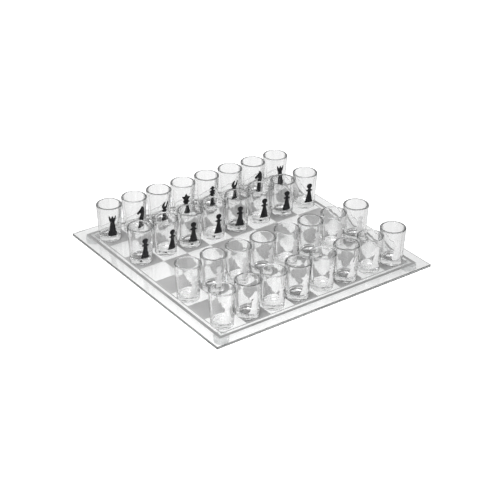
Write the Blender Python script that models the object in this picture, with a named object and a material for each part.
"""Drinking chess set: a clear glass board on four bumper feet, carrying 32 marked shot glasses.

Metres, +Z up. The origin is on the table, under the middle of the board. +X runs along the ranks from
the a file to the h file, and +Y runs from the white player to the black player.
"""

import math

import bmesh
import bpy
from mathutils import Vector

# ---- Shot glass ----
RIM_D = 0.0356              # outer diameter at the rim
BASE_D = 0.0300             # outer diameter just above the heel
GLASS_H = 0.0520            # base to rim
WALL = 0.0026               # wall thickness, square to the axis
FLOOR_T = 0.0075            # thickness of the heavy base
HEEL = 0.0015               # rounding where the base turns up into the wall
LIP = 0.0013                # height of the fire-polished rim's rounding
TURN_SIDES = 24             # flats round each turned piece

# ---- Playing field and how the glasses stand on it ----
SQUARE_ROOM = 0.00225       # room that one square leaves beside a rim
SQUARE = RIM_D + SQUARE_ROOM
SQUARES = 8
FILE_SPREAD = 0.0017        # each next glass stands this much further out than the next square does
FILE_PITCH = SQUARE + FILE_SPREAD

# ---- Board ----
MARGIN = 0.0236             # clear border outside the playing field
BOARD_SIDE = SQUARES * SQUARE + 2 * MARGIN
BOARD_T = 0.0040            # plate glass
ARRIS = 0.0005              # ground edge

# ---- Feet ----
FOOT_D = 0.0200
FOOT_H = 0.0080
FOOT_INSET = 0.0210         # foot's axis, in from each edge of the board
FOOT_CHAMFER = 0.0010

# ---- Fits ----
SEAT_GAP = 0.0003           # between pieces that rest on each other

BOARD_BOTTOM = FOOT_H + SEAT_GAP
BOARD_TOP = BOARD_BOTTOM + BOARD_T
GLASS_BOTTOM = BOARD_TOP + SEAT_GAP

FILES = "abcdefgh"
OFFICERS = ("rook", "knight", "bishop", "queen", "king", "bishop", "knight", "rook")
PAWNS = ("pawn",) * SQUARES
# A row of glasses: its side, its pieces, the rank its centre is on (in squares from the middle line,
# towards black), and how far off that rank's centre it was set down: along X, along Y, and turned.
ROWS = (
    ("black", OFFICERS, 3.5, 0.0004, -0.0011, math.radians(-1.75)),
    ("black", PAWNS, 1.5, 0.0015, 0.0011, 0.0),
    ("white", PAWNS, -1.5, -0.0007, -0.0019, 0.0),
    ("white", OFFICERS, -3.5, -0.0018, -0.0040, math.radians(-0.3)),
)


def clear_scene():
    for thing in list(bpy.data.objects):
        bpy.data.objects.remove(thing, do_unlink=True)


def material(name, colour, roughness, transmission):
    made = bpy.data.materials.new(name)
    made.use_nodes = True
    shader = made.node_tree.nodes["Principled BSDF"]
    shader.inputs["Base Color"].default_value = (*colour, 1.0)
    shader.inputs["Roughness"].default_value = roughness
    shader.inputs["Metallic"].default_value = 0.0
    shader.inputs["Transmission Weight"].default_value = transmission
    shader.inputs["IOR"].default_value = 1.5
    return made


def finished_mesh(shape, name):
    """The bmesh as a mesh with its normals out and its curved faces smooth."""
    bmesh.ops.recalc_face_normals(shape, faces=shape.faces[:])
    mesh = bpy.data.meshes.new(name)
    shape.to_mesh(mesh)
    shape.free()
    mesh.shade_smooth()
    mesh.set_sharp_from_angle(angle=math.radians(40))
    return mesh


def turned_mesh(name, outline):
    """Turns an outline of (radius, height) points, which starts and ends on the axis, about Z."""
    shape = bmesh.new()
    points = [shape.verts.new((radius, 0.0, height)) for radius, height in outline]
    edges = [shape.edges.new(pair) for pair in zip(points, points[1:])]
    bmesh.ops.spin(
        shape,
        geom=points + edges,
        cent=Vector(),
        axis=Vector((0, 0, 1)),
        angle=2 * math.pi,
        steps=TURN_SIDES,
        use_merge=True,
    )
    bmesh.ops.remove_doubles(shape, verts=shape.verts[:], dist=1e-6)
    return finished_mesh(shape, name)


def add(name, mesh, place, finish):
    made = bpy.data.objects.new(name, mesh)
    made.location = place
    bpy.context.scene.collection.objects.link(made)
    if not mesh.materials:
        mesh.materials.append(finish)
    # Two objects can share a mesh and still have a material each.
    made.material_slots[0].link = "OBJECT"
    made.material_slots[0].material = finish
    return made


def shot_glass_mesh():
    """A tapered tumbler: heavy base, straight sides that lean out, and a rounded rim."""
    rim_r = RIM_D / 2
    base_r = BASE_D / 2
    lean = (rim_r - base_r) / (GLASS_H - LIP - HEEL)
    floor_r = base_r + lean * (FLOOR_T - HEEL) - WALL
    outline = (
        (0.0, 0.0),
        (base_r - HEEL, 0.0),
        (base_r, HEEL),
        (rim_r, GLASS_H - LIP),
        (rim_r - WALL / 2, GLASS_H),
        (rim_r - WALL, GLASS_H - LIP),
        (floor_r, FLOOR_T),
        (0.0, FLOOR_T),
    )
    return turned_mesh("shot_glass", outline)


def foot_mesh():
    """A round bumper that sticks to the plate, with its lower edge eased."""
    radius = FOOT_D / 2
    outline = (
        (0.0, 0.0),
        (radius - FOOT_CHAMFER, 0.0),
        (radius, FOOT_CHAMFER),
        (radius, FOOT_H),
        (0.0, FOOT_H),
    )
    return turned_mesh("bumper_foot", outline)


def board_mesh():
    """The square plate, lying on z = 0, with a small arris all round."""
    shape = bmesh.new()
    bmesh.ops.create_cube(shape, size=1.0)
    bmesh.ops.scale(shape, vec=(BOARD_SIDE, BOARD_SIDE, BOARD_T), verts=shape.verts[:])
    bmesh.ops.translate(shape, vec=(0, 0, BOARD_T / 2), verts=shape.verts[:])
    bmesh.ops.bevel(
        shape,
        geom=shape.edges[:],
        offset=ARRIS,
        offset_type="OFFSET",
        affect="EDGES",
        segments=1,
        profile=0.5,
        material=-1,
    )
    return finished_mesh(shape, "glass_board")


def make_board():
    finish = material("plate_glass", (0.93, 0.96, 0.95), 0.02, 0.9)
    return add("glass_board", board_mesh(), (0, 0, BOARD_BOTTOM), finish)


def make_feet():
    finish = material("clear_bumper", (0.85, 0.87, 0.87), 0.25, 0.6)
    mesh = foot_mesh()
    reach = BOARD_SIDE / 2 - FOOT_INSET
    corners = (
        ("foot_white_a", -1, -1),
        ("foot_white_h", 1, -1),
        ("foot_black_a", -1, 1),
        ("foot_black_h", 1, 1),
    )
    for name, x, y in corners:
        add(name, mesh, (x * reach, y * reach, 0), finish)


def make_glasses():
    """Four rows of eight. Each glass has its origin on its own axis, at its base, because it lifts off."""
    finishes = {
        "black": material("glass_with_black_mark", (0.62, 0.63, 0.64), 0.02, 0.9),
        "white": material("glass_with_white_mark", (0.95, 0.96, 0.97), 0.02, 0.9),
    }
    mesh = shot_glass_mesh()
    for side, pieces, rank, off_x, off_y, turn in ROWS:
        row_centre = Vector((off_x, rank * SQUARE + off_y, GLASS_BOTTOM))
        along = Vector((math.cos(turn), math.sin(turn), 0.0))
        for number, (letter, piece) in enumerate(zip(FILES, pieces)):
            from_middle = (number - (SQUARES - 1) / 2) * FILE_PITCH
            place = row_centre + along * from_middle
            add(f"{side}_{piece}_{letter}", mesh, place, finishes[side])


def main():
    clear_scene()
    make_board()
    make_feet()
    make_glasses()


main()
